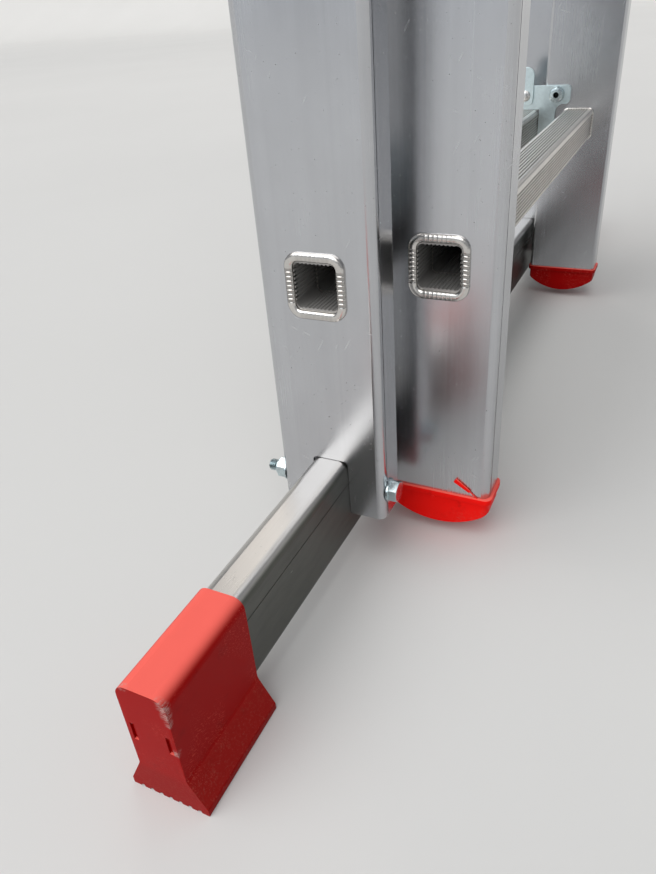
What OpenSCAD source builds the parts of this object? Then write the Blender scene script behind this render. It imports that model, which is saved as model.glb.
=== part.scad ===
// Two-section push-up extension ladder with a stabiliser bar across the foot.
// Origin: on the ground under the middle of the closed ladder. +X runs along the rungs,
// +Y points from the sliding front section (fly) to the rear section (base), +Z is up.

/* [Sections] */
// Number of rungs in each section
rung_count = 10; // [8:1:10]
// Height from one rung to the next
rung_pitch = 280; // [260:5:300]
// Width over the base section's stiles
base_w = 595; // [560:5:680]
// Side gap between a base stile and the fly stile nested inside it
nest_gap = 20.5; // [18:0.5:26]
// How far the fly's rungs stand in front of the base's rungs
fly_offset = 56; // [54.5:0.5:60]
// Height of the lowest rungs' centre above the ground
first_rung_z = 194; // [186:1:205]

/* [Stiles] */
// Depth of a stile, front to back
stile_d = 73; // [70:1:76]
// Thickness of a stile, web to web
stile_t = 27; // [25:0.5:29]
// Wall of the stile's webs
web_t = 1.8; // [1.4:0.1:2.4]
// Wall of the stile's front and back flanges
flange_t = 2.4; // [1.8:0.1:3]
// Outer corner radius beside the outer web
stile_r = 5; // [3:0.5:6]
// Corner radius beside the inner web
stile_inner_r = 2.5; // [1:0.5:3]
// Length of stile below the lowest rung in the base
base_tail = 156.5; // [150:0.5:160]
// Length of stile below the lowest rung in the fly
fly_tail = 159; // [150:0.5:162]
// Length of stile above the highest rung
stile_head = 140; // [130:5:180]

/* [Rungs] */
// Outside size of the square rung tube
rung_s = 30; // [28:0.5:30]
// Wall of the rung tube
rung_wall = 1.8; // [1.5:0.1:2.2]
// Corner radius of the rung tube
rung_r = 4.5; // [3:0.5:6]
// Tread grooves on each face of a rung
tread_grooves = 8; // [3:1:8]
// Width of the swaged collar, front to back
collar_w = 37; // [35:0.5:38]
// Height of the swaged collar
collar_h = 39; // [36:0.5:40]
// How far the swaged collar stands out of the outer web
collar_t = 2.4; // [1.5:0.1:3]

/* [Stabiliser bar] */
// Thickness of the bar, front to back
bar_t = 24; // [22:0.5:25]
// Height of the bar
bar_h = 60; // [55:1:62]
// Wall of the bar
bar_wall = 2; // [1.6:0.1:2.5]
// Height of the bar's lower edge above the ground
bar_z = 18; // [17:0.5:20]
// Reach of the foot's end face beyond the base stile
bar_reach = 196; // [150:1:220]

/* [Feet] */
// Length of a bar foot along the bar
foot_l = 66; // [60:1:75]
// Wall of the foot's sleeve round the bar
foot_wall = 2; // [1.5:0.1:2.5]
// Width of the foot where it meets the ground
foot_base_w = 46; // [42:1:50]
// Drop of the fly foot's curved sole below its stile
fly_foot_drop = 27; // [25:0.5:29]
// Radius of the fly foot's curved sole
fly_sole_r = 54.6; // [50:0.1:60]

/* [Hooks and guides] */
// Plate thickness of the rung hooks and the guides
plate_t = 3; // [2.5:0.5:3.5]
// Thickness of the safety latches
latch_t = 2.2; // [1.8:0.1:2.5]
// Height of a guide
guide_h = 70; // [60:5:80]
// Running clearance between a guide and the fly stile
guide_gap = 1; // [0.6:0.1:1.4]

/* [Hidden] */
$fn = 48;
eps = 0.5; // overrun of a cutting shape past the face it opens

// Widths, and the planes of the stiles' faces measured from the ladder's middle
fly_w = base_w - 2 * (stile_t + nest_gap);
base_outer = base_w / 2;
base_inner = base_outer - stile_t;
fly_outer = fly_w / 2;
fly_inner = fly_outer - stile_t;

// M8 fasteners: shank and hole radius, hexagon across flats, head, nut and washer
bolt_r = 4;
hole_r = 4.25;
hex_af = 13;
head_h = 5.3;
nut_h = 8;
washer_r = 8;
washer_t = 1.6;
thread_gap = 0.03; // between a shank and the hole it is screwed or riveted into
bolt_tip = 6; // thread showing past the nut

// Depth extent of the whole ladder, and the offset that centres it on the origin
guide_front = -fly_offset - stile_d / 2 - guide_gap - plate_t;
bar_bolt_back = stile_d / 2 + washer_t + nut_h + bolt_tip;
base_y = -(guide_front + bar_bolt_back) / 2;
fly_y = base_y - fly_offset;

// Heights
top_z = first_rung_z + (rung_count - 1) * rung_pitch + stile_head;
base_bottom = first_rung_z - base_tail;
fly_bottom = first_rung_z - fly_tail;
bar_mid_z = bar_z + bar_h / 2;
bar_bolt_z = base_bottom + 18.5;
bar_bolt_x = base_outer - 10;

// Seam grooves that run down the front and back flanges
seam_w = 0.9;
seam_depth = 0.6;
seam_inset = 6.5;

// Tread grooves and the bore of the rung
groove_w = 1.2;
groove_depth = 0.7;
rung_bore = rung_s - 2 * rung_wall;
collar_r = 9;
bead_w = 33; // swelling of the tube against the inner web
bead_r = 6;
bead_t = 1.5;

// Bar, its slot in the stiles, and its feet
bar_r = 6;
bar_seam_z = 16.5; // from the bar's upper edge down to its seam groove
slot_gap = 0.2;
slot_r = 3;
foot_end_wall = 4;
sleeve_gap = 0.1; // all round the bar inside the sleeve
foot_r = 7; // upper corners of the sleeve
foot_edge_h = 4.5; // upright edge of the flared base
foot_flare_h = 17.5; // height over which the sleeve flares out
sole_ribs = 8;
sole_groove_w = 2.4;
sole_groove_depth = 1.5;
foot_mark_w = 2.6; // two small upright slots in the end face
foot_mark_h = 11.5;
foot_mark_y = 10.3;
bar_half = base_outer + bar_reach - foot_end_wall;

// Caps and fly feet
plug_gap = 0.2;
plug_wall = 2.5;
cap_lid = 3;
cap_plug = 24;
fly_foot_lip = 4;
fly_foot_lip_out = 2;
fly_foot_plug = 38;

// Rung hook: heights and depths are measured from the centre of the base rung it sits on
hook_gap = 0.3; // play over the rung
hook_top = 38.6;
hook_front = -46.5;
hook_back = 28;
hook_nose = 20.5; // lower edge of the nose, above the fly rung's collar
hook_leg_front = -32.5;
hook_leg_bottom = -34;
hook_tail_bottom = -10;
hook_r = 4;
hook_fillet_r = 8; // in the corner under the nose
screw_y = -33;
screw_z = 30;
socket_r = 2.9;
rivet_r = 2;
rivet_head_r = 4;
rivet_tail_r = 3;
rivet_head_t = 1.6;
rivet_y = -28.3;
rivet_z = -25;
rivnut_r = 5.5;
rivnut_l = 14;

// Safety latch: a finger tab over a pivot rivet, and an arm that reaches behind the rung
latch_gap = 0.3;
pivot_z = 29;
pivot_r = 3;
pivot_bore_r = 3.06;
pivot_head_r = 5.5;
pivot_head_t = 2;
tab_w = 17;
tab_top = 57;
tab_bottom = 20;
shoulder_top = 37.6;
arm_front = rung_s / 2 + 0.5;
arm_back = 27;
toe_top = -17;
toe_bottom = -25;
toe_r = 3.5;

// Guide: bent plate bolted inside the base stile and wrapped round the fly stile
guide_z = top_z - 100;
guide_back = 12;
guide_lip = 17;
guide_bend = 2;
guide_bolt_y = -10;
guide_bolt_rise = [18, 52];

function numbered(stem) = [for (i = [1:rung_count]) str(stem, i < 10 ? "0" : "", i)];
BASE_RUNGS = numbered("base_rung_");
FLY_RUNGS = numbered("fly_rung_");

// ---------- shared shapes ----------

// Parts are drawn for the +X side; side is 1 for right and -1 for left
module on_side(side) {
    if (side > 0) children();
    else mirror([1, 0, 0]) children();
}

module both_sides() {
    for (side = [-1, 1]) on_side(side) children();
}

module rounded_rect(w, d, r) {
    square([w - 2 * r, d], center = true);
    square([w, d - 2 * r], center = true);
    for (x = [-1, 1], y = [-1, 1]) {
        translate([x * (w / 2 - r), y * (d / 2 - r)]) circle(r);
    }
}

// A flat outline whose first axis is Y and second is Z, from x to x + length along X
module along_x(x, length) {
    translate([x, 0, 0]) rotate([90, 0, 90]) linear_extrude(length) children();
}

module hexagon(af) {
    circle(r = af / sqrt(3), $fn = 6);
}

// ---------- stiles ----------

// Outline of a stile seen from above, outer web on the +X side
module stile_outline() {
    intersection() {
        rounded_rect(stile_t, stile_d, stile_r);
        translate([0, -stile_d / 2]) square([stile_t / 2, stile_d]);
    }
    intersection() {
        rounded_rect(stile_t, stile_d, stile_inner_r);
        translate([-stile_t / 2, -stile_d / 2]) square([stile_t / 2, stile_d]);
    }
}

module stile_hollow() {
    rounded_rect(stile_t - 2 * web_t, stile_d - 2 * flange_t, stile_inner_r);
}

module stile_section() {
    difference() {
        stile_outline();
        stile_hollow();
        for (y = [-1, 1]) {
            translate([stile_t / 2 - seam_inset, y * stile_d / 2])
                square([seam_w, 2 * seam_depth], center = true);
        }
    }
}

// One stile with its row of rung holes; x is its middle plane
module stile(x, y, bottom) {
    difference() {
        translate([x, y, bottom]) linear_extrude(top_z - bottom) stile_section();
        for (i = [0:rung_count - 1]) {
            translate([0, y, first_rung_z + i * rung_pitch])
                along_x(x - stile_t, 2 * stile_t) rounded_rect(rung_s, rung_s, rung_r);
        }
    }
}

module bar_slot() {
    slot_w = bar_t + 2 * slot_gap;
    slot_top = bar_z + bar_h + slot_gap;
    translate([0, base_y, 0]) along_x(base_inner - eps, stile_t + 2 * eps)
        translate([0, slot_top / 2]) rounded_rect(slot_w, slot_top, slot_r);
}

module base_stile(side) {
    color([0.72, 0.73, 0.75]) on_side(side) difference() {
        stile(base_outer - stile_t / 2, base_y, base_bottom);
        bar_slot();
        translate([bar_bolt_x, base_y, bar_bolt_z]) rotate([90, 0, 0])
            cylinder(r = hole_r, h = stile_d + 2 * eps, center = true);
        for (rise = guide_bolt_rise) {
            translate([base_inner - eps, base_y + guide_bolt_y, guide_z + rise])
                rotate([0, 90, 0]) cylinder(r = hole_r, h = stile_t + 2 * eps);
        }
    }
}

module fly_stile(side) {
    color([0.72, 0.73, 0.75]) on_side(side) difference() {
        stile(fly_outer - stile_t / 2, fly_y, fly_bottom);
        translate([fly_inner - eps, base_y + screw_y, first_rung_z + screw_z])
            rotate([0, 90, 0]) cylinder(r = rivnut_r + thread_gap, h = web_t + 2 * eps);
        translate([fly_inner - eps, base_y + rivet_y, first_rung_z + rivet_z])
            rotate([0, 90, 0]) cylinder(r = rivet_r + thread_gap, h = web_t + 2 * eps);
    }
}

module top_cap(side, x, y) {
    color([0.78, 0.09, 0.07]) on_side(side) translate([x, y, top_z]) {
        linear_extrude(cap_lid) stile_outline();
        translate([0, 0, -cap_plug]) linear_extrude(cap_plug) plug_ring();
    }
}

// Hollow plug that fills the end of a stile
module plug_ring() {
    w = stile_t - 2 * web_t - 2 * plug_gap;
    d = stile_d - 2 * flange_t - 2 * plug_gap;
    difference() {
        rounded_rect(w, d, stile_inner_r);
        square([w - 2 * plug_wall, d - 2 * plug_wall], center = true);
    }
}

// ---------- rungs ----------

module rung_section() {
    land = (rung_s - 2 * rung_r) / tread_grooves;
    difference() {
        rounded_rect(rung_s, rung_s, rung_r);
        rounded_rect(rung_bore, rung_bore, rung_r - rung_wall / 2);
        for (turn = [0:3], i = [0:tread_grooves - 1]) {
            rotate(turn * 90) translate([(i + 0.5) * land - rung_s / 2 + rung_r, rung_s / 2])
                square([groove_w, 2 * groove_depth], center = true);
        }
    }
}

// A flat ring round the rung's bore
module ring_section(w, h, r) {
    difference() {
        rounded_rect(w, h, r);
        rounded_rect(rung_bore, rung_bore, rung_r - rung_wall / 2);
    }
}

// A rung swaged into both stiles; outer and inner are the planes of the stile's webs
module rung(y, number, outer, inner) {
    color([0.75, 0.76, 0.78]) translate([0, y, first_rung_z + (number - 1) * rung_pitch]) {
        along_x(-outer, 2 * outer) rung_section();
        both_sides() {
            along_x(outer, collar_t) ring_section(collar_w, collar_h, collar_r);
            along_x(inner - bead_t, bead_t) ring_section(bead_w, bead_w, bead_r);
        }
    }
}

// ---------- stabiliser bar and its feet ----------

module stabiliser_bar() {
    color([0.74, 0.75, 0.76]) translate([0, base_y, 0]) difference() {
        translate([0, 0, bar_mid_z]) along_x(-bar_half, 2 * bar_half) difference() {
            rounded_rect(bar_t, bar_h, bar_r);
            rounded_rect(bar_t - 2 * bar_wall, bar_h - 2 * bar_wall, bar_r - bar_wall);
            for (y = [-1, 1]) {
                translate([y * bar_t / 2, bar_h / 2 - bar_seam_z])
                    square([2 * seam_depth, seam_w], center = true);
            }
        }
        both_sides() translate([bar_bolt_x, 0, bar_bolt_z]) rotate([90, 0, 0])
            cylinder(r = hole_r, h = bar_t + 2 * eps, center = true);
    }
}

// End view of a foot: sleeve, flare and upright edge, standing on z = 0
module foot_outline() {
    sleeve_w = bar_t + 2 * foot_wall;
    sleeve_top = bar_z + bar_h + foot_wall;
    waist_z = foot_edge_h + foot_flare_h;
    translate([0, sleeve_top / 2]) rounded_rect(sleeve_w, sleeve_top, foot_r);
    polygon([
        [-foot_base_w / 2, 0],
        [foot_base_w / 2, 0],
        [foot_base_w / 2, foot_edge_h],
        [sleeve_w / 2, waist_z],
        [-sleeve_w / 2, waist_z],
        [-foot_base_w / 2, foot_edge_h],
    ]);
}

module sole_grooves() {
    rib_pitch = foot_base_w / sole_ribs;
    for (i = [1:sole_ribs - 1]) {
        translate([i * rib_pitch - foot_base_w / 2, 0])
            square([sole_groove_w, 2 * sole_groove_depth], center = true);
    }
}

module bar_foot(side) {
    end_x = base_outer + bar_reach;
    color([0.86, 0.12, 0.09]) on_side(side) translate([0, base_y, 0]) difference() {
        along_x(end_x - foot_l, foot_l) difference() {
            foot_outline();
            sole_grooves();
        }
        translate([0, 0, bar_mid_z]) along_x(end_x - foot_l - eps, foot_l - foot_end_wall + eps)
            rounded_rect(bar_t + 2 * sleeve_gap, bar_h + 2 * sleeve_gap, bar_r);
        for (y = [-1, 1]) {
            translate([end_x - foot_end_wall / 2, y * foot_mark_y, bar_mid_z])
                cube([foot_end_wall + 2 * eps, foot_mark_w, foot_mark_h], center = true);
        }
    }
}

// ---------- fasteners ----------

// Hexagon bolt along +Z from under its head
module bolt(length) {
    cylinder(r = bolt_r, h = length);
    translate([0, 0, -head_h]) linear_extrude(head_h) hexagon(hex_af);
}

module nut() {
    difference() {
        linear_extrude(nut_h) hexagon(hex_af);
        translate([0, 0, -eps]) cylinder(r = bolt_r + thread_gap, h = nut_h + 2 * eps);
    }
}

module washer() {
    difference() {
        cylinder(r = washer_r, h = washer_t);
        translate([0, 0, -eps]) cylinder(r = hole_r, h = washer_t + 2 * eps);
    }
}

// The bar bolts' own axis: from the front flange of the base stile towards the back
module at_bar_bolts() {
    both_sides() translate([bar_bolt_x, base_y - stile_d / 2, bar_bolt_z]) rotate([-90, 0, 0])
        children();
}

module bar_bolts() {
    color([0.7, 0.7, 0.68]) at_bar_bolts() translate([0, 0, -washer_t])
        bolt(stile_d + 2 * washer_t + nut_h + bolt_tip);
}

module bar_washers() {
    color([0.75, 0.74, 0.7]) at_bar_bolts() {
        translate([0, 0, -washer_t]) washer();
        translate([0, 0, stile_d]) washer();
    }
}

module bar_nuts() {
    color([0.7, 0.7, 0.68]) at_bar_bolts() translate([0, 0, stile_d + washer_t]) nut();
}

// The guide bolts' own axis: from the outer web of the base stile inwards
module at_guide_bolts() {
    both_sides() for (rise = guide_bolt_rise) {
        translate([base_outer, base_y + guide_bolt_y, guide_z + rise]) rotate([0, -90, 0])
            children();
    }
}

module guide_bolts() {
    color([0.7, 0.7, 0.68]) at_guide_bolts() translate([0, 0, -washer_t])
        bolt(stile_t + plate_t + washer_t + nut_h + bolt_tip);
}

module guide_washers() {
    color([0.75, 0.74, 0.7]) at_guide_bolts() translate([0, 0, -washer_t]) washer();
}

module guide_nuts() {
    color([0.7, 0.7, 0.68]) at_guide_bolts() translate([0, 0, stile_t + plate_t]) nut();
}

// ---------- guides ----------

// A quarter ring of plate centred on the origin, in the quadrant given by sx and sy
module plate_bend(sx, sy) {
    outer_r = guide_bend + plate_t;
    intersection() {
        difference() {
            circle(outer_r);
            circle(guide_bend);
        }
        translate([min(sx, 0) * outer_r, min(sy, 0) * outer_r]) square(outer_r);
    }
}

// The guide seen from above: a leg on the base stile, a front, and a lip inside the fly stile
module guide_outline() {
    front = base_y + guide_front;
    lip_x = fly_inner - guide_gap - plate_t;
    bend = guide_bend + plate_t;
    translate([base_inner - plate_t, front + bend])
        square([plate_t, base_y + guide_back - front - bend]);
    translate([base_inner - bend, front + bend]) plate_bend(1, -1);
    translate([lip_x + bend, front]) square([base_inner - lip_x - 2 * bend, plate_t]);
    translate([lip_x + bend, front + bend]) plate_bend(-1, -1);
    translate([lip_x, front + bend]) square([plate_t, guide_lip - bend]);
}

module guide(side) {
    color([0.8, 0.8, 0.78]) on_side(side) difference() {
        translate([0, 0, guide_z]) linear_extrude(guide_h) guide_outline();
        for (rise = guide_bolt_rise) {
            translate([base_inner - plate_t - eps, base_y + guide_bolt_y, guide_z + rise])
                rotate([0, 90, 0]) cylinder(r = hole_r, h = plate_t + 2 * eps);
        }
    }
}

// ---------- fly feet ----------

module fly_foot(side) {
    lip_bottom = fly_bottom - fly_foot_lip;
    sole_z = fly_bottom - fly_foot_drop;
    color([0.86, 0.12, 0.09]) on_side(side) translate([fly_outer - stile_t / 2, fly_y, 0]) {
        translate([0, 0, fly_bottom]) linear_extrude(fly_foot_plug) plug_ring();
        translate([0, 0, lip_bottom]) linear_extrude(fly_foot_lip)
            rounded_rect(stile_t + 2 * fly_foot_lip_out, stile_d + 2 * fly_foot_lip_out, stile_r);
        intersection() {
            translate([0, 0, sole_z]) linear_extrude(fly_foot_drop - fly_foot_lip)
                stile_outline();
            translate([0, 0, sole_z + fly_sole_r]) rotate([0, 90, 0])
                cylinder(r = fly_sole_r, h = 2 * stile_t, center = true, $fn = 180);
        }
    }
}

// ---------- rung hooks and latches ----------

// A box given by its two corners, depth first, with rounded corners
module round_box(y0, z0, y1, z1, r) {
    translate([(y0 + y1) / 2, (z0 + z1) / 2]) rounded_rect(y1 - y0, z1 - z0, r);
}

// Side view of the hook, an upside-down U over the base rung with a nose above the fly rung
module hook_outline() {
    seat = rung_s / 2 + hook_gap;
    root = seat + hook_r;
    round_box(hook_front, hook_nose, hook_back, hook_top, hook_r);
    round_box(hook_leg_front, hook_leg_bottom, -seat - hook_gap, root + hook_r, hook_r);
    round_box(seat + hook_gap, hook_tail_bottom, hook_back, root + hook_r, hook_r);
    translate([hook_leg_front, seat]) square([hook_back - hook_leg_front, 2 * hook_r]);
    translate([hook_leg_front, hook_nose]) difference() {
        translate([-hook_fillet_r, -hook_fillet_r]) square(hook_fillet_r + hook_r);
        translate([-hook_fillet_r, -hook_fillet_r]) circle(hook_fillet_r);
    }
}

module hook_plate(side) {
    color([0.8, 0.81, 0.8]) on_side(side) translate([0, base_y, first_rung_z])
        along_x(fly_inner - plate_t, plate_t) difference() {
            hook_outline();
            translate([screw_y, screw_z]) circle(hole_r);
            translate([rivet_y, rivet_z]) circle(rivet_r + thread_gap);
            translate([0, pivot_z]) circle(pivot_r + thread_gap);
        }
}

// A frame on the hook plate's inner face at a depth and height, with +Z pointing outwards
module at_hook(y, z) {
    both_sides() translate([fly_inner - plate_t, base_y + y, first_rung_z + z])
        rotate([0, 90, 0]) children();
}

module hook_screws() {
    color([0.72, 0.72, 0.7]) at_hook(screw_y, screw_z) {
        translate([0, 0, -washer_t]) cylinder(r = washer_r, h = washer_t);
        difference() {
            translate([0, 0, -washer_t - head_h]) linear_extrude(head_h) hexagon(hex_af);
            translate([0, 0, -washer_t - head_h - eps]) cylinder(r = socket_r, h = head_h);
        }
        cylinder(r = bolt_r, h = rivnut_l);
    }
}

module hook_rivnuts() {
    color([0.72, 0.72, 0.7]) at_hook(screw_y, screw_z) difference() {
        translate([0, 0, plate_t]) cylinder(r = rivnut_r, h = rivnut_l);
        cylinder(r = bolt_r + thread_gap, h = rivnut_l + plate_t + eps);
    }
}

module hook_rivets() {
    color([0.76, 0.77, 0.78]) at_hook(rivet_y, rivet_z) {
        translate([0, 0, -rivet_head_t]) cylinder(r = rivet_head_r, h = rivet_head_t);
        cylinder(r = rivet_r, h = plate_t + web_t);
        translate([0, 0, plate_t + web_t]) cylinder(r = rivet_tail_r, h = rivet_head_t);
    }
}

module latch_rivets() {
    stand = latch_t + 2 * latch_gap;
    color([0.82, 0.82, 0.8]) at_hook(0, pivot_z) {
        translate([0, 0, -stand - pivot_head_t]) cylinder(r = pivot_head_r, h = pivot_head_t);
        translate([0, 0, -stand]) cylinder(r = pivot_r, h = stand + plate_t);
        translate([0, 0, plate_t]) cylinder(r = pivot_head_r, h = pivot_head_t);
    }
}

// Side view of the latch, from the same rung centre as the hook
module latch_outline() {
    half = tab_w / 2;
    translate([-half, tab_bottom + hook_r]) square([tab_w, tab_top - tab_bottom - half - hook_r]);
    translate([0, tab_top - half]) circle(half);
    round_box(-half, tab_bottom, arm_back, shoulder_top, hook_r);
    round_box(arm_front, toe_bottom, arm_back, shoulder_top, hook_r);
    round_box(0, toe_bottom, arm_back, toe_top, toe_r);
    translate([arm_front, toe_top - hook_r]) square([hook_r, 2 * hook_r]);
}

module latch(side) {
    color([0.83, 0.84, 0.84]) on_side(side) translate([0, base_y, first_rung_z])
        along_x(fly_inner - plate_t - latch_gap - latch_t, latch_t) difference() {
            latch_outline();
            translate([0, pivot_z]) circle(pivot_bore_r);
        }
}

base_stile(-1);  // base_stile_left
base_stile(1);  // base_stile_right
top_cap(-1, base_outer - stile_t / 2, base_y);  // base_top_cap_left
top_cap(1, base_outer - stile_t / 2, base_y);  // base_top_cap_right
for (i = [1:rung_count]) {
    rung(base_y, i, base_outer, base_inner);
}
stabiliser_bar();
bar_foot(-1);  // bar_foot_left
bar_foot(1);  // bar_foot_right
bar_bolts();
bar_washers();
bar_nuts();
guide(-1);  // guide_left
guide(1);  // guide_right
guide_bolts();
guide_washers();
guide_nuts();
fly_stile(-1);  // fly_stile_left
fly_stile(1);  // fly_stile_right
top_cap(-1, fly_outer - stile_t / 2, fly_y);  // fly_top_cap_left
top_cap(1, fly_outer - stile_t / 2, fly_y);  // fly_top_cap_right
for (i = [1:rung_count]) {
    rung(fly_y, i, fly_outer, fly_inner);
}
fly_foot(-1);  // fly_foot_left
fly_foot(1);  // fly_foot_right
hook_plate(-1);  // hook_plate_left
hook_plate(1);  // hook_plate_right
hook_screws();
hook_rivnuts();
hook_rivets();
latch_rivets();
latch(-1);  // latch_left
latch(1);  // latch_right
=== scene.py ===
"""Finishes and detailed pieces for a two-section aluminium extension ladder with a stabiliser bar.

Metres throughout, in the ladder's own frame: +X along the rungs to the right stile, +Y from the
sliding front section (fly) to the rear section (base), +Z up, and the ground at z = 0.
"""
import math

import bmesh
import bpy
from mathutils import Matrix, Vector


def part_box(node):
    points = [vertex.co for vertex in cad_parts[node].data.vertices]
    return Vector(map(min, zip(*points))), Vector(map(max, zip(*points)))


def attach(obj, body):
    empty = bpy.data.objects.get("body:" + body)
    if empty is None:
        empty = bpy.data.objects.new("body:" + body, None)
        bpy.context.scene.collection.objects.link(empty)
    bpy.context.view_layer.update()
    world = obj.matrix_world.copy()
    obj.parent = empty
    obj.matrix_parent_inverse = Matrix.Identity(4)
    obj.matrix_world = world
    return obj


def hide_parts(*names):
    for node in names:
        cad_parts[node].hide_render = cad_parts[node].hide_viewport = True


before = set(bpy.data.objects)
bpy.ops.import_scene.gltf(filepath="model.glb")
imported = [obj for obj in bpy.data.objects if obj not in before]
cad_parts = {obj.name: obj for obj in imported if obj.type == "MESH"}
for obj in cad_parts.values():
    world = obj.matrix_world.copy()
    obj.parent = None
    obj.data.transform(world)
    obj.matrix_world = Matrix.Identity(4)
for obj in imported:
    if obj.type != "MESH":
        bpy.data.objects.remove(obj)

MM = 0.001
SIDES = {"left": -1, "right": 1}
RUNGS = range(1, 1 + sum(name.startswith("base_rung_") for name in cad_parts))
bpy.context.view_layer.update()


# ---------- the frame's own dimensions ----------

def middle(node):
    low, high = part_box(node)
    return (low + high) / 2


def extent(node):
    low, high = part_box(node)
    return high - low


# ---------- materials: shader maths as ordinary expressions ----------

class Value:
    """A number, colour or vector inside a material. Arithmetic on it adds Math nodes."""

    def __init__(self, finish, socket):
        self.finish = finish
        self.socket = socket

    def math(self, operation, first, second=0.0, clamp=False):
        settings = {"operation": operation, "use_clamp": clamp}
        return self.finish.node("ShaderNodeMath", settings, {0: first, 1: second})

    def __add__(self, other):
        return self.math("ADD", self, other)

    def __radd__(self, other):
        return self.math("ADD", other, self)

    def __sub__(self, other):
        return self.math("SUBTRACT", self, other)

    def __rsub__(self, other):
        return self.math("SUBTRACT", other, self)

    def __mul__(self, other):
        return self.math("MULTIPLY", self, other)

    def __rmul__(self, other):
        return self.math("MULTIPLY", other, self)

    def __abs__(self):
        return self.math("ABSOLUTE", self)

    def clamped(self):
        return self.math("ADD", self, 0.0, clamp=True)

    def ramp(self, low, high):
        """0 below low, 1 above high, and smooth between."""
        settings = {"interpolation_type": "SMOOTHSTEP"}
        return self.finish.node("ShaderNodeMapRange", settings, {0: self, 1: low, 2: high})


class Finish:
    """One material, with its Principled shader and the ways to build patterns for it."""

    def __init__(self, name, **constants):
        self.material = bpy.data.materials.new(name)
        self.material.use_nodes = True
        self.tree = self.material.node_tree
        self.shader = self.tree.nodes["Principled BSDF"]
        for socket, value in constants.items():
            self.shader.inputs[socket.replace("_", " ")].default_value = value
        self.place = self.node("ShaderNodeTexCoord", {}, {}, output="Object")

    def node(self, kind, settings, inputs, output=0):
        made = self.tree.nodes.new(kind)
        for name, value in settings.items():
            setattr(made, name, value)
        for key, value in inputs.items():
            self.link(value, made.inputs[key])
        return Value(self, made.outputs[output])

    def link(self, value, socket):
        if isinstance(value, Value):
            self.tree.links.new(value.socket, socket)
        else:
            socket.default_value = value

    def feed(self, socket, value):
        """Sets or links one of the shader's own sockets."""
        self.link(value, self.shader.inputs[socket])

    def mapped(self, patch, turn=(0, 0, 0), shift=(0, 0, 0)):
        """Object coordinates counted in patches: patch is one patch's size along each axis."""
        inputs = {"Vector": self.place, "Location": shift, "Rotation": turn, "Scale": patch}
        return self.node("ShaderNodeMapping", {"vector_type": "TEXTURE"}, inputs)

    def noise(self, patch, detail=2.0, turn=(0, 0, 0), shift=(0, 0, 0), roughness=0.5):
        """Soft blotches about one patch large; shift, in patches, sets patterns apart."""
        if not isinstance(patch, tuple):
            patch = (patch, patch, patch)
        inputs = {
            "Vector": self.mapped(patch, turn, shift),
            "Scale": 1.0,
            "Detail": detail,
            "Roughness": roughness,
        }
        return self.node("ShaderNodeTexNoise", {}, inputs)

    def scratches(self, patch, turn, shift, amount=0.70):
        """Short straight marks: the peaks of a noise stretched along one turned axis."""
        return self.noise(patch, 0.0, turn, shift).ramp(amount, amount + 0.05)

    def cells(self, patch):
        """Angular crystals about one patch large, each with its own colour."""
        inputs = {"Vector": self.mapped((patch, patch, patch)), "Scale": 1.0}
        return self.node("ShaderNodeTexVoronoi", {}, inputs, output="Color")

    def axis(self, name):
        """One of the object coordinates, in metres."""
        return self.node("ShaderNodeSeparateXYZ", {}, {0: self.place}, output=name)

    def attribute(self, name):
        """A number painted on the mesh's vertices, 0 on a mesh without it."""
        return self.node("ShaderNodeAttribute", {"attribute_name": name}, {}, output="Fac")

    def blend(self, mask, first, second):
        """A colour that goes from first to second as mask goes from 0 to 1."""
        settings = {"data_type": "RGBA"}
        inputs = {0: mask, 6: first, 7: second}
        return self.node("ShaderNodeMix", settings, inputs, output=2)

    def bump(self, height, depth, strength=1.0, under=None):
        inputs = {"Height": height, "Distance": depth, "Strength": strength}
        if under is not None:
            inputs["Normal"] = under
        return self.node("ShaderNodeBump", {}, inputs)

    def near(self, point, reach, blur):
        """1 within reach of a point, falling to 0 over blur."""
        inputs = {0: self.place, 1: tuple(point)}
        away = self.node("ShaderNodeVectorMath", {"operation": "DISTANCE"}, inputs, output="Value")
        return 1 - away.ramp(reach, reach + blur)


def drawn(along, across, length):
    """The patch of a pattern drawn out along one axis."""
    return tuple(length if axis == along else across for axis in "XYZ")


# Painted shade for the stabiliser bar's upright sides
SIDE_SHADE_GREY = (0.055, 0.059, 0.050, 1)
DARK_SPECK = (0.16, 0.16, 0.15, 1)
FRESH_SCRATCH = (0.82, 0.83, 0.84, 1)


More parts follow.
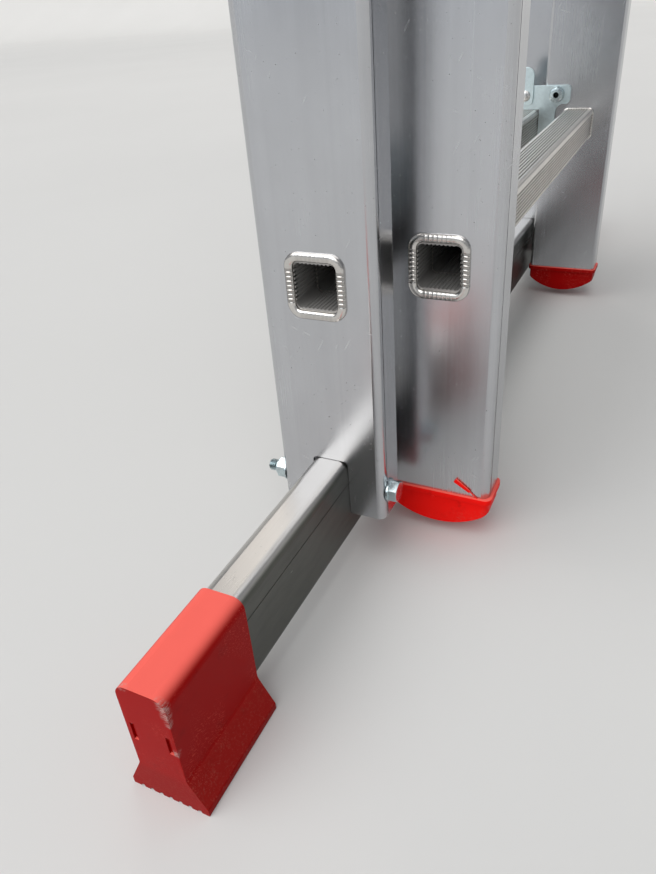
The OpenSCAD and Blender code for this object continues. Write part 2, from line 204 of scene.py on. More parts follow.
def extruded_aluminium(name, along, dark, light, roughness, shaded_sides=None):
    """Mill-finish extrusion: die lines along its length, cloudy handling marks, small scratches, and
    painted shade on the sides that an optional mask picks out.
    """
    f = Finish(name, Metallic=1.0)
    fine = f.noise(drawn(along, 0.45 * MM, 260 * MM), 3.0)
    broad = f.noise(drawn(along, 5 * MM, 900 * MM), 2.0, shift=(3, 1, 7))
    cloud = f.noise((70 * MM, 70 * MM, 120 * MM), 4.0, shift=(1, 5, 2), roughness=0.6)
    specks = f.noise(1.4 * MM, 1.0, shift=(8, 2, 4)).ramp(0.74, 0.80)
    patches = f.noise(46 * MM, 1.0, shift=(4, 4, 0)).ramp(0.56, 0.64)
    marks = (f.scratches((9 * MM, 0.7 * MM, 11 * MM), (0.5, 0.1, 0), (2, 7, 1), 0.81)
             + f.scratches((9 * MM, 9 * MM, 0.7 * MM), (0.4, 0, 0.1), (5, 3, 9), 0.81)
             ).clamped() * patches
    tone = (0.26 * fine + 0.20 * broad + 0.60 * cloud - 0.02).clamped()
    colour = f.blend(tone, dark, light)
    gloss = roughness + 0.07 * (fine - 0.5) + 0.14 * (cloud - 0.5)
    # Painted shade: the masked sides are blended towards a dark olive grey with a mottled strength,
    # and made a little rougher.
    if shaded_sides:
        side = shaded_sides(f)
        mottle = f.noise((24 * MM, 9 * MM, 6 * MM), 3.0, shift=(5, 5, 1), roughness=0.6)
        colour = f.blend(side * (0.84 + 0.12 * mottle), colour, SIDE_SHADE_GREY)
        gloss = gloss + 0.10 * side
    colour = f.blend(specks * 0.4, colour, DARK_SPECK)
    colour = f.blend(marks * 0.5, colour, FRESH_SCRATCH)
    f.feed("Base Color", colour)
    f.feed("Roughness", (gloss + 0.15 * specks + 0.05 * marks).clamped())
    lines = f.bump(fine, 0.02 * MM, 0.05)
    f.feed("Normal", f.bump(marks, 0.05 * MM, 0.3, under=lines))
    return f.material


RUNG_DARK = (0.48, 0.465, 0.44, 1)
RUNG_LIGHT = (0.96, 0.93, 0.89, 1)
PAINTED_SHADE_GREY = (0.07, 0.065, 0.06, 1)
BORE_GREY = (0.15, 0.15, 0.15, 1)


def swaged_aluminium(name):
    """The rungs: ribbed drawn tube with burnished rolled collars, painted shade on the collars and
    in the creases, and a bore painted a darker, less metallic grey.
    """
    f = Finish(name, Metallic=1.0)
    die = f.noise(drawn("X", 0.7 * MM, 140 * MM), 3.0)
    chatter = f.noise(1.1 * MM, 3.0, shift=(2, 9, 4))
    mottle = f.noise(24 * MM, 4.0, shift=(6, 1, 3), roughness=0.65)
    bore = f.attribute("bore")
    tone = (0.45 * die + 0.35 * chatter + 0.45 * mottle - 0.12).clamped()
    groove, burnished = f.attribute("groove"), f.attribute("burnished")
    colour = f.blend(tone, RUNG_DARK, RUNG_LIGHT)
    # Painted shade: the groove attribute darkens the lips a little and the crimp valleys and rib
    # beds more.
    colour = f.blend(groove * 0.9, colour, PAINTED_SHADE_GREY)
    # The bore is painted a darker grey and made less metallic.
    f.feed("Base Color", f.blend(bore * 0.7, colour, BORE_GREY))
    f.feed("Metallic", 1 - 0.6 * bore)
    gloss = 0.36 - 0.18 * burnished + 0.14 * (chatter - 0.5) + 0.12 * (mottle - 0.4)
    f.feed("Roughness", gloss.clamped())
    lines = f.bump(die, 0.06 * MM, 0.4)
    f.feed("Normal", f.bump(chatter, 0.12 * MM, 0.3, under=lines))
    return f.material


GRIME_RED = (0.16, 0.002, 0.002, 1)
TOP_SHEEN_RED = (1.0, 0.17, 0.135, 1)
NICK_RED = (0.70, 0.12, 0.09, 1)
SCUFF_PINK = (0.52, 0.36, 0.33, 1)
LOW_RED = (0.16, 0.003, 0.002, 1)
DUSTY_RED = (0.36, 0.08, 0.06, 1)


def moulded_red(name, deep, bright, scuffed=(), dusty_below=0.0):
    """Red moulded plastic: satin skin, flow marks, a painted sheen on the upward faces, scuffs and
    floor dust.

    scuffed lists (point, reach) where the skin is torn; dusty_below is the height that floor
    dust climbs to, and below which the red is a little darker.
    """
    f = Finish(name, Metallic=0.0, IOR=1.47, Specular_IOR_Level=0.06)
    skin = f.noise(0.8 * MM, 3.0)
    flow = f.noise((50 * MM, 40 * MM, 80 * MM), 3.0, shift=(4, 2, 6))
    grime = f.noise(14 * MM, 4.0, shift=(9, 3, 1), roughness=0.7).ramp(0.54, 0.76)
    nicks = (f.scratches((0.5 * MM, 9 * MM, 0.5 * MM), (0.6, 0, 0.2), (1, 2, 8), 0.69)
             + f.scratches((11 * MM, 0.5 * MM, 0.5 * MM), (0, 0.5, 0.2), (4, 4, 3), 0.69)).clamped()
    nicks = nicks * f.noise(30 * MM, 1.0, shift=(7, 7, 2)).ramp(0.46, 0.60)
    colour = f.blend(flow, deep, bright)
    colour = f.blend(grime * 0.4, colour, GRIME_RED)
    facing = f.node("ShaderNodeTexCoord", {}, {}, output="Normal")
    upward = f.node("ShaderNodeSeparateXYZ", {}, {0: facing}, output="Z").ramp(0.35, 1.0)
    nicks = nicks * (1 - upward)
    # Painted highlight: faces that look upward are blended towards a pale salmon red, as the sheen
    # of light from above.
    colour = f.blend(upward * (0.72 + 0.2 * flow), colour, TOP_SHEEN_RED)
    colour = f.blend(nicks * 0.4, colour, NICK_RED)
    wear = nicks
    for point, reach in scuffed:
        torn = f.noise((3 * MM, 3 * MM, 1 * MM), 4.0, shift=(2, 2, 2), roughness=0.8)
        scuff = f.near(point, reach * 0.2, reach * 0.7) * torn.ramp(0.44, 0.58)
        colour = f.blend(scuff * 0.7, colour, SCUFF_PINK)
        wear = (wear + scuff).clamped()
    if dusty_below > 0:
        low = 1 - f.axis("Z").ramp(dusty_below * 0.8, dusty_below * 1.1)
        dust = low * f.noise(1.6 * MM, 3.0, shift=(3, 1, 1), roughness=0.8).ramp(0.50, 0.72)
        # The lowest part is blended a little darker red.
        colour = f.blend(low * 0.3, colour, LOW_RED)
        colour = f.blend(dust * 0.4, colour, DUSTY_RED)
        wear = (wear + dust * 0.6).clamped()
    f.feed("Base Color", colour)
    f.feed("Roughness", (0.34 + 0.12 * flow + 0.10 * (skin - 0.5) + 0.28 * wear).clamped())
    torn_skin = f.bump(wear, 0.2 * MM, 0.45)
    f.feed("Normal", f.bump(skin, 0.03 * MM, 0.3, under=torn_skin))
    return f.material


SOCKET_SHADE_BLACK = (0.012, 0.013, 0.014, 1)


def zinc(name, dark, light, roughness):
    """Bright zinc on steel: soft spangle, a faint blue and straw tint, small scratches, and painted
    shade in marked hollows.
    """
    f = Finish(name, Metallic=1.0)
    spangle = f.node("ShaderNodeRGBToBW", {}, {0: f.cells(2.4 * MM)})
    tint = f.noise(11 * MM, 3.0, shift=(3, 8, 5))
    grain = f.noise(0.5 * MM, 2.0)
    marks = f.scratches((0.4 * MM, 6 * MM, 0.4 * MM), (0.3, 0, 0.6), (6, 6, 1), 0.68)
    shade = (0.30 * spangle + 0.75 * tint - 0.03).clamped()
    colour = f.blend(shade, dark, light)
    # Painted shade: faces marked by the hollow attribute, deep in a socket, are painted near black.
    f.feed("Base Color", f.blend(f.attribute("hollow"), colour, SOCKET_SHADE_BLACK))
    gloss = roughness + 0.14 * (shade - 0.5) + 0.08 * grain + 0.1 * marks
    f.feed("Roughness", gloss.clamped())
    f.feed("Normal", f.bump(marks * 0.5 + grain * 0.4, 0.04 * MM, 0.4))
    return f.material


FLOOR_DARK = (0.62, 0.62, 0.61, 1)
FLOOR_LIGHT = (0.66, 0.66, 0.65, 1)


def pale_floor():
    f = Finish("pale floor", Metallic=0.0, Specular_IOR_Level=0.2)
    cloud = f.noise(0.7, 4.0)
    f.feed("Base Color", f.blend(cloud, FLOOR_DARK, FLOOR_LIGHT))
    f.feed("Roughness", 0.75 + 0.1 * f.noise(3 * MM))
    return f.material


# ---------- mesh tools ----------

# A face wider than this is shaded flat
WIDE = 8 * MM
# Vertices closer than this are one vertex
WELD = 0.001 * MM
# An edge with a sharper turn than this is shaded sharp
BEND_DEG = 32


def smooth_with_sharp_edges(bm, sharp_deg):
    """Rounds the shading of bends and blends, and leaves every wide flat face truly flat."""
    for face in bm.faces:
        longest = max(edge.calc_length() for edge in face.edges)
        face.smooth = face.calc_area() < WIDE * longest
    for edge in bm.edges:
        edge.smooth = edge.calc_face_angle(0.0) < math.radians(sharp_deg)


def add_piece(name, bm, material, body, replaced, sharp_deg=BEND_DEG):
    """Turns a bmesh into a finished piece that rides on a body in place of its CAD nodes."""
    bmesh.ops.remove_doubles(bm, verts=bm.verts, dist=WELD)
    bmesh.ops.recalc_face_normals(bm, faces=bm.faces)
    smooth_with_sharp_edges(bm, sharp_deg)
    mesh = bpy.data.meshes.new(name)
    bm.to_mesh(mesh)
    bm.free()
    mesh.materials.append(material)
    piece = bpy.data.objects.new(name, mesh)
    bpy.context.scene.collection.objects.link(piece)
    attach(piece, body)
    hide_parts(*replaced)


def is_square_to(edge, axis):
    """Whether an edge keeps one place along an axis, given as 0, 1 or 2."""
    first, second = edge.verts
    return abs(first.co[axis] - second.co[axis]) < WELD


def round_corner(bm, corner, radius):
    segments = 8 if radius > 2 * MM else 4
    bmesh.ops.bevel(bm, geom=[corner], affect="VERTICES", offset=radius, segments=segments,
                    profile=0.5, material=-1, offset_type="OFFSET", clamp_overlap=True)


def soften(bm, edges, width, segments=2):
    bmesh.ops.bevel(bm, geom=list(edges), affect="EDGES", offset=width, segments=segments,
                    profile=0.5, material=-1, offset_type="OFFSET", clamp_overlap=True)


def flat_outline(corners, plane):
    """A face through corners given as (first, second, radius), in the YZ or the XY plane."""
    bm = bmesh.new()
    made = []
    for first, second, radius in corners:
        spot = (0, first, second) if plane == "YZ" else (first, second, 0)
        made.append((bm.verts.new(spot), radius))
    bm.faces.new([vert for vert, _ in made])
    for vert, radius in made:
        if radius > 0:
            round_corner(bm, vert, radius)
    return bm


def only_verts(geometry):
    return [item for item in geometry if isinstance(item, bmesh.types.BMVert)]


def thicken(bm, start, offset):
    """Moves a flat outline to its start and extrudes it by an offset into a closed body."""
    bmesh.ops.translate(bm, verts=bm.verts, vec=Vector(start))
    grown = bmesh.ops.extrude_face_region(bm, geom=bm.faces[:])["geom"]
    bmesh.ops.translate(bm, verts=only_verts(grown), vec=Vector(offset))
    bmesh.ops.recalc_face_normals(bm, faces=bm.faces)
    return bm


def rectangle(width, height, radius):
    """The corners of a centred rectangle, for flat_outline."""
    w, h = width / 2, height / 2
    return [(-w, -h, radius), (w, -h, radius), (w, h, radius), (-w, h, radius)]


def combine(target, cutter, operation):
    """Cuts, joins or intersects two closed meshes and returns the result as a new bmesh."""
    objects = []
    for bm in (target, cutter):
        bmesh.ops.recalc_face_normals(bm, faces=bm.faces)
        mesh = bpy.data.meshes.new("work")
        bm.to_mesh(mesh)
        bm.free()
        made = bpy.data.objects.new("work", mesh)
        bpy.context.scene.collection.objects.link(made)
        objects.append(made)
    cut = objects[0].modifiers.new("cut", "BOOLEAN")
    cut.operation = operation
    cut.solver = "EXACT"
    cut.object = objects[1]
    bpy.context.view_layer.update()
    shaped = objects[0].evaluated_get(bpy.context.evaluated_depsgraph_get())
    result = bmesh.new()
    result.from_mesh(shaped.to_mesh())
    shaped.to_mesh_clear()
    for made in objects:
        mesh = made.data
        bpy.data.objects.remove(made)
        bpy.data.meshes.remove(mesh)
    return result


def add_box(bm, low, high):
    made = bmesh.ops.create_cube(bm, size=1.0)["verts"]
    size = Vector(high) - Vector(low)
    bmesh.ops.scale(bm, verts=made, vec=size)
    bmesh.ops.translate(bm, verts=made, vec=(Vector(low) + Vector(high)) / 2)


def add_rod(bm, centre, axis, radius, length, segments=40):
    """A closed cylinder round a centre, along Y or Z."""
    turn = {"Y": Matrix.Rotation(math.pi / 2, 4, "X"), "Z": Matrix.Identity(4)}[axis]
    bmesh.ops.create_cone(bm, cap_ends=True, segments=segments, radius1=radius, radius2=radius,
                          depth=length, matrix=Matrix.Translation(centre) @ turn)


def lathe(profile, steps=48):
    """Spins (radius, height) points about the Z axis into a closed body."""
    bm = bmesh.new()
    verts = [bm.verts.new((radius, 0, height)) for radius, height in profile]
    edges = [bm.edges.new(pair) for pair in zip(verts, verts[1:])]
    bmesh.ops.spin(bm, geom=verts + edges, cent=(0, 0, 0), axis=(0, 0, 1), angle=math.tau,
                   steps=steps, use_merge=True)
    bmesh.ops.remove_doubles(bm, verts=bm.verts, dist=0.1 * WELD)
    bmesh.ops.recalc_face_normals(bm, faces=bm.faces)
    return bm


def merged(parts):
    """Joins (bmesh, placing matrix) pairs into one new bmesh and frees them."""
    whole = bmesh.new()
    for bm, matrix in parts:
        mesh = bpy.data.meshes.new("part")
        bm.to_mesh(mesh)
        bm.free()
        mesh.transform(matrix)
        whole.from_mesh(mesh)
        bpy.data.meshes.remove(mesh)
    return whole


def mirror_across_x(bm):
    bmesh.ops.scale(bm, verts=bm.verts, vec=(-1, 1, 1))
    bmesh.ops.reverse_faces(bm, faces=bm.faces)


def eased_copy(node, width, segments=2):
    """A copy of a CAD node with its flat faces merged and its edges rounded over."""
    bm = bmesh.new()
    bm.from_mesh(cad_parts[node].data)
    bmesh.ops.remove_doubles(bm, verts=bm.verts, dist=2 * WELD)
    bmesh.ops.dissolve_limit(bm, angle_limit=math.radians(0.5), verts=bm.verts, edges=bm.edges)
    sharp = [e for e in bm.edges if e.is_manifold and e.calc_face_angle(0.0) > math.radians(28)]
    soften(bm, sharp, width, segments)
    return bm


def along(axis, place):
    """A matrix that stands a part's +Z along a direction at a place."""
    return Matrix.Translation(place) @ Vector(axis).to_track_quat("Z", "Y").to_matrix().to_4x4()


# ---------- camera, lights and floor ----------

FOCAL_MM = 29.05
EYE_FROM_FIRST_COLLAR = Vector((-333.2, -178.0, 137.7)) * MM
HEADING_DEG = 28.135
DIP_DEG = 32.068
ROLL_DEG = -4.773


def place_camera():
    """Looks down at the foot of the near stiles, from their left and in front of them."""
    heading, dip, roll = (math.radians(angle) for angle in (HEADING_DEG, DIP_DEG, ROLL_DEG))
    first_rung = middle("base_rung_01")
    collar = Vector((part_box("base_stile_left")[0].x, first_rung.y, first_rung.z))
    ahead = Vector((math.cos(dip) * math.cos(heading), math.cos(dip) * math.sin(heading),
                    -math.sin(dip)))
    level = ahead.cross(Vector((0, 0, 1))).normalized()
    upright = level.cross(ahead)
    across = level * math.cos(roll) + upright * math.sin(roll)
    up = upright * math.cos(roll) - level * math.sin(roll)
    turn = Matrix((across, up, -ahead)).transposed().to_4x4()
    camera = bpy.data.objects.new("camera", bpy.data.cameras.new("camera"))
    camera.data.lens = FOCAL_MM
    camera.data.clip_start = 0.01
    camera.matrix_world = Matrix.Translation(collar + EYE_FROM_FIRST_COLLAR) @ turn
    bpy.context.scene.collection.objects.link(camera)
    bpy.context.scene.camera = camera


def aimed(place, target):
    aim = Vector(target) - Vector(place)
    return Matrix.Translation(place) @ aim.to_track_quat("-Z", "Y").to_matrix().to_4x4()


def add_lamp(name, kind, strength, colour, matrix):
    lamp = bpy.data.lights.new(name, kind)
    lamp.energy = strength
    lamp.color = colour
    made = bpy.data.objects.new(name, lamp)
    made.matrix_world = matrix
    bpy.context.scene.collection.objects.link(made)
    return lamp


def softbox(name, place, target, size, watts, colour):
    lamp = add_lamp(name, "AREA", watts, colour, aimed(place, target))
    lamp.shape = "RECTANGLE"
    lamp.size, lamp.size_y = size


def build_studio():
    """One broad soft sun, a warm box behind, a cool box on the left and a dim sky."""
    bpy.context.scene.view_settings.view_transform = "Standard"
    key = add_lamp("key", "SUN", strength=2.6, colour=(1.0, 0.98, 0.96),
                   matrix=aimed(place=(-2.6, 1.1, 3.8), target=(0, 0, 0)))
    key.angle = math.radians(75)
    softbox("back", place=(3.4, 2.5, 4.2), target=(-0.4, 0, 0.1), size=(1.5, 2.4), watts=18,
            colour=(1.0, 0.94, 0.88))
    softbox("left", place=(-4.0, 1.4, 1.9), target=(0, 0, 0.6), size=(2.6, 2.6), watts=16,
            colour=(0.80, 0.90, 1.0))
    world = bpy.data.worlds.new("studio")
    world.use_nodes = True
    background = world.node_tree.nodes["Background"]
    background.inputs["Color"].default_value = (0.92, 0.95, 1.0, 1)
    background.inputs["Strength"].default_value = 0.36
    bpy.context.scene.world = world
    swept_floor(reach=40, back=9, sweep_r=2, top=6)


def swept_floor(reach, back, sweep_r, top):
    """A floor that curves up into a backdrop on the +X side."""
    bm = bmesh.new()
    edge, bend = bm.verts.new((-reach, -reach, 0)), bm.verts.new((back, -reach, 0))
    bm.edges.new((edge, bend))
    swept = bmesh.ops.spin(bm, geom=[bend], cent=(back, 0, sweep_r), axis=(0, -1, 0),
                           angle=math.pi / 2, steps=16)["geom_last"]
    rise = bmesh.ops.extrude_vert_indiv(bm, verts=only_verts(swept))
    bmesh.ops.translate(bm, verts=rise["verts"], vec=(0, 0, top))
    wide = bmesh.ops.extrude_edge_only(bm, edges=bm.edges[:])["geom"]
    bmesh.ops.translate(bm, verts=only_verts(wide), vec=(0, 2 * reach, 0))
    for face in bm.faces:
        face.smooth = True
        if face.normal.z < -0.01 or face.normal.x > 0.01:
            face.normal_flip()
    mesh = bpy.data.meshes.new("floor")
    bm.to_mesh(mesh)
    bm.free()
    mesh.materials.append(pale_floor())
    floor = bpy.data.objects.new("floor", mesh)
    bpy.context.scene.collection.objects.link(floor)
    return floor


# ---------- stiles ----------

STILE_WALL = 1.8 * MM
STILE_FLANGE = 2.4 * MM
STILE_R = 5 * MM
CUT_EDGE = 0.5 * MM
OVERSHOOT = 5 * MM
STILE_INNER_R = 2.5 * MM
SEAM_W = 0.9 * MM
SEAM_DEPTH = 0.6 * MM
SEAM_INSET = 6.5 * MM
SLOT_GAP = 0.25 * MM
SLOT_R = 3 * MM
RUNG_S = 30 * MM


def stile_corners(depth, width):
    """Outline of a stile with its outer web at +x, and the seam grooves in its two flanges."""
    w, d = width / 2, depth / 2
    seam = w - SEAM_INSET
    near, far = seam + SEAM_W / 2, seam - SEAM_W / 2
    back = [(w, -d, STILE_R), (w, d, STILE_R), (near, d, 0), (near, d - SEAM_DEPTH, 0),
            (far, d - SEAM_DEPTH, 0), (far, d, 0), (-w, d, STILE_INNER_R)]
    front = [(-w, -d, STILE_INNER_R), (far, -d, 0), (far, SEAM_DEPTH - d, 0),
             (near, SEAM_DEPTH - d, 0), (near, -d, 0)]
    return back + front


def build_stile(section, side, material):
    """One box-section stile: seams, hollow, rung holes and, on the base, the bar's slot."""
    node = f"{section}_stile_{side}"
    low, centre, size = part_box(node)[0], middle(node), extent(node)
    body = flat_outline(stile_corners(size.y, size.x), "XY")
    thicken(body, (0, 0, low.z), (0, 0, size.z))
    soften(body, [edge for edge in body.edges if is_square_to(edge, 2)], CUT_EDGE)
    inside = rectangle(size.x - 2 * STILE_WALL, size.y - 2 * STILE_FLANGE, STILE_INNER_R)
    hollow = flat_outline(inside, "XY")
    thicken(hollow, (0, 0, low.z - OVERSHOOT), (0, 0, size.z + 2 * OVERSHOOT))
    body = combine(body, hollow, "DIFFERENCE")
    rung_holes = bmesh.new()
    half = RUNG_S / 2
    for i in RUNGS:
        z = middle(f"{section}_rung_{i:02d}").z
        add_box(rung_holes, (-size.x, -half, z - half), (size.x, half, z + half))
    if section == "base":
        bar_low, bar_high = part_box("stabiliser_bar")
        width, top = bar_high.y - bar_low.y + 2 * SLOT_GAP, bar_high.z + SLOT_GAP
        slot = flat_outline(rectangle(width, 2 * top, SLOT_R), "YZ")
        body = combine(body, thicken(slot, (-size.x, 0, 0), (2 * size.x, 0, 0)), "DIFFERENCE")
    body = combine(body, rung_holes, "DIFFERENCE")
    if side == "left":
        mirror_across_x(body)
    bmesh.ops.translate(body, verts=body.verts, vec=(centre.x, centre.y, 0))
    add_piece(f"{section}_{side}_stile", body, material, section, [node])


# ---------- rungs ----------

RUNG_R = 4.5 * MM
RUNG_BORE = 26.4 * MM
BORE_R = 3.5 * MM
RIBS = 8
RIB_DEPTH = 0.9 * MM
BORE_RIB_DEPTH = 0.5 * MM
RIB_SHARP_DEG = 45
COLLAR_R = 9 * MM
COLLAR_RISE = 2.35 * MM
COLLAR_CRIMP = 0.4 * MM
CRIMP_REACH = 10 * MM
BEAD_W = 33 * MM
BEAD_R = 6 * MM
BEAD_RISE = 1.5 * MM
BEAD_CRIMP = 0.15 * MM
LIP_FOOT = 0.4 * MM
LIP_SEAT = 0.3 * MM
LIP_ROOT = 3 * MM
LIP_ROOT_WALL = 1 * MM
# How much painted shade the "groove" attribute gives the lips, the valleys of their crimps and the
# ribs' beds
LIP_SHADE = 0.16
VALLEY_SHADE = 0.42
BED_SHADE = 0.6
# How strongly the level sides are crimped, against the upright ones
LEVEL_CRIMP = 0.35
STEP_R = 3 * MM
STEP_RISE = 0.5 * MM
STEP_BED = 0.4 * MM
STEP_HALF_TOP = 0.4 * MM
STEP_HALF_FOOT = 1.6 * MM


def fluted_square(side, radius, depth):
    """Corners of a square tube's outline whose four faces carry small ribs between grooves."""
    corners = []
    pitch = (side - 2 * radius) / RIBS
    groove = [(0.20, 0.0), (0.30, depth), (0.70, depth), (0.80, 0.0)]
    for quarter in range(4):
        turn = Matrix.Rotation(-quarter * math.pi / 2, 2)
        edge = [(radius - side / 2 + (i + share) * pitch, side / 2 - sunk)
                for i in range(RIBS) for share, sunk in groove]
        for run, out in edge:
            y, z = turn @ Vector((run, out))
            corners.append((y, z, 0))
        y, z = turn @ Vector((side / 2, side / 2))
        corners.append((y, z, radius))
    return corners


def carried_round(section, half_y, half_z, side_runs, level_runs):
    """A closed section, (outward, x) points, carried round a rectangle with round corners.

    half_y and half_z reach the centres of the corners; the runs are the steps of each side.
    """
    bm = bmesh.new()
    verts = [bm.verts.new((x, out, -half_z)) for out, x in section]
    last = verts + [bm.edges.new(pair) for pair in zip(verts, verts[1:] + verts[:1])]
    corners = [(half_y, half_z), (-half_y, half_z), (-half_y, -half_z), (half_y, -half_z)]
    here = Vector((0, half_y, -half_z))
    for (y, z), runs in zip(corners, (side_runs, level_runs) * 2):
        corner = Vector((0, y, z))
        last = bmesh.ops.spin(bm, geom=last, cent=here, axis=(1, 0, 0), dvec=(corner - here) / runs,
                              angle=0, steps=runs)["geom_last"]
        last = bmesh.ops.spin(bm, geom=last, cent=corner, axis=(1, 0, 0), angle=math.pi / 2,
                              steps=8)["geom_last"]
        here = corner
    bmesh.ops.remove_doubles(bm, verts=bm.verts, dist=WELD)
    bmesh.ops.recalc_face_normals(bm, faces=bm.faces)
    return bm


def rolled_ring(width, height, corner_r, rise, crimp):
    """The half-round lip that forming leaves round a rung, rising along +X from x = 0.

    crimp raises the ridges that the tube's ribs leave, strongest along the upright sides; the
    valleys between them, and the whole lip a little, are marked for painted shade.
    """
    outer, inner = width / 2, RUNG_BORE / 2
    section = [(outer, -LIP_SEAT)]
    steps = 8
    for k in range(steps + 1):
        angle = math.pi * k / steps
        out = outer - (outer - inner) * (1 - math.cos(angle)) / 2
        fullness = max(0.0, math.sin(angle)) ** 0.7
        section.append((out, LIP_FOOT + (rise - LIP_FOOT) * fullness))
    section += [(inner, -LIP_ROOT), (inner + LIP_ROOT_WALL, -LIP_ROOT),
                (inner + LIP_ROOT_WALL, -LIP_SEAT)]
    bm = carried_round(section, outer - corner_r, height / 2 - corner_r, side_runs=64,
                       level_runs=48)
    groove = bm.verts.layers.float.new("groove")
    burnished = bm.verts.layers.float.new("burnished")
    pitch = (RUNG_S - 2 * RUNG_R) / RIBS
    for vert in bm.verts:
        vert[burnished], vert[groove] = 1.0, LIP_SHADE
        share = vert.co.x / rise
        upright = abs(vert.co.y) > inner - 0.5 * MM
        run = vert.co.z if upright else vert.co.y
        if abs(run) < CRIMP_REACH and share > 0.3:
            ridge = max(0.0, math.cos(math.tau * run / pitch)) ** 3
            strength = 1.0 if upright else LEVEL_CRIMP
            vert.co.x += crimp * strength * (ridge - 0.7) * share
            vert[groove] = LIP_SHADE + VALLEY_SHADE * (1 - ridge) * strength
    return bm


def bore_step():
    """The narrow ridge inside the bore, square to X, where the tube is squeezed by the web."""
    bed, top = RUNG_BORE / 2 + STEP_BED, RUNG_BORE / 2 - STEP_RISE
    section = [(bed, STEP_HALF_FOOT), (top, STEP_HALF_TOP), (top, -STEP_HALF_TOP),
               (bed, -STEP_HALF_FOOT)]
    reach = RUNG_BORE / 2 - STEP_R
    bm = carried_round(section, reach, reach, side_runs=40, level_runs=40)
    for layer in ("groove", "burnished"):
        bm.verts.layers.float.new(layer)
    return bm


def rung_mesh(section):
    """The mesh of one whole rung, centred on its own middle."""
    size = extent(f"{section}_rung_01")
    outer = size.x / 2 - COLLAR_RISE
    inner = outer - extent(f"{section}_stile_left").x
    tube = flat_outline(fluted_square(RUNG_S, RUNG_R, RIB_DEPTH), "YZ")
    thicken(tube, (-outer, 0, 0), (2 * outer, 0, 0))
    bore = flat_outline(fluted_square(RUNG_BORE, BORE_R, BORE_RIB_DEPTH), "YZ")
    thicken(bore, (-outer - 1 * MM, 0, 0), (2 * outer + 2 * MM, 0, 0))
    tube = combine(tube, bore, "DIFFERENCE")
    groove = tube.verts.layers.float.new("groove")
    tube.verts.layers.float.new("burnished")
    for vert in tube.verts:
        out = max(abs(vert.co.y), abs(vert.co.z))
        # The beds between the ribs are marked for painted shade.
        in_bed = abs(out - (RUNG_S / 2 - RIB_DEPTH)) < 0.1 * MM
        vert[groove] = BED_SHADE if in_bed else 0.0
    parts = [(tube, Matrix.Identity(4))]
    flip = Matrix.Diagonal((-1, 1, 1, 1))
    at_outer, at_inner = (Matrix.Translation((x, 0, 0)) for x in (outer, inner))
    for turn in (Matrix.Identity(4), flip):
        collar = rolled_ring(size.y, size.z, COLLAR_R, COLLAR_RISE, COLLAR_CRIMP)
        bead = rolled_ring(BEAD_W, BEAD_W, BEAD_R, BEAD_RISE, BEAD_CRIMP)
        parts.append((collar, turn @ at_outer))
        parts.append((bead, turn @ at_inner @ flip))
        parts.append((bore_step(), turn @ at_inner))
    whole = merged(parts)
    painted = whole.verts.layers.float.new("bore")
    for vert in whole.verts:
        inside = max(abs(vert.co.y), abs(vert.co.z)) < RUNG_BORE / 2 + 0.6 * MM
        on_step = abs(abs(vert.co.x) - inner) < STEP_HALF_FOOT + 0.1 * MM
        vert[painted] = 1.0 if inside and not on_step and abs(vert.co.x) < outer else 0.0
    return whole


def build_rungs(section, material):
    template = rung_mesh(section)
    bmesh.ops.recalc_face_normals(template, faces=template.faces)
    for i in RUNGS:
        node = f"{section}_rung_{i:02d}"
        bm = template.copy()
        bmesh.ops.translate(bm, verts=bm.verts, vec=middle(node))
        add_piece(f"{section}_rung_tube_{i:02d}", bm, material, section, [node],
                  RIB_SHARP_DEG)
    template.free()


# ---------- stabiliser bar and its feet ----------

BAR_R = 6 * MM
BAR_WALL = 2 * MM
BAR_SEAM_DROP = 16.5 * MM
BAR_SEAM_W = 0.5 * MM
BAR_SEAM_DEPTH = 0.3 * MM
BAR_SHADE_FROM = 2.2 * MM
BAR_SHADE_FULL = 0.5 * MM
FOOT_BASE_EDGE = 4.5 * MM
FOOT_FLARE = 17.5 * MM
FOOT_WALL = 2 * MM
FOOT_TOP_R = 7 * MM
FOOT_RIM = 1.5 * MM
POCKET_GAP = 0.3 * MM
SOLE_RIBS = 8
SOLE_GROOVE = 2.6 * MM
SOLE_GROOVE_RISE = 1.5 * MM
FOOT_MARK = Vector((2.4 * MM, 2.6 * MM, 12 * MM))
FOOT_MARK_Y = 10.2 * MM
# Torn spots on the bar feet: distance back from the front corner, height and reach, in mm
WORN_SPOTS = [(2, 80, 5), (1, 75, 5.5), (0.5, 70, 5), (0, 65, 4), (1, 44, 4), (23, 80, 4)]


def bar_shaded_sides(f):
    """1 on the bar's upright sides, which get painted shade, 0 on its polished top and bottom."""
    bar = middle("stabiliser_bar").y
    half = extent("stabiliser_bar").y / 2
    return abs(f.axis("Y") - bar).ramp(half - BAR_SHADE_FROM, half - BAR_SHADE_FULL)


def worn_spots():
    """The worn spots' points on the end face of the left bar foot."""
    sleeve_front = middle("bar_foot_left").y - extent("stabiliser_bar").y / 2 - FOOT_WALL
    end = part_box("bar_foot_left")[0].x
    return [((end, sleeve_front + back * MM, height * MM), reach * MM)
            for back, height, reach in WORN_SPOTS]


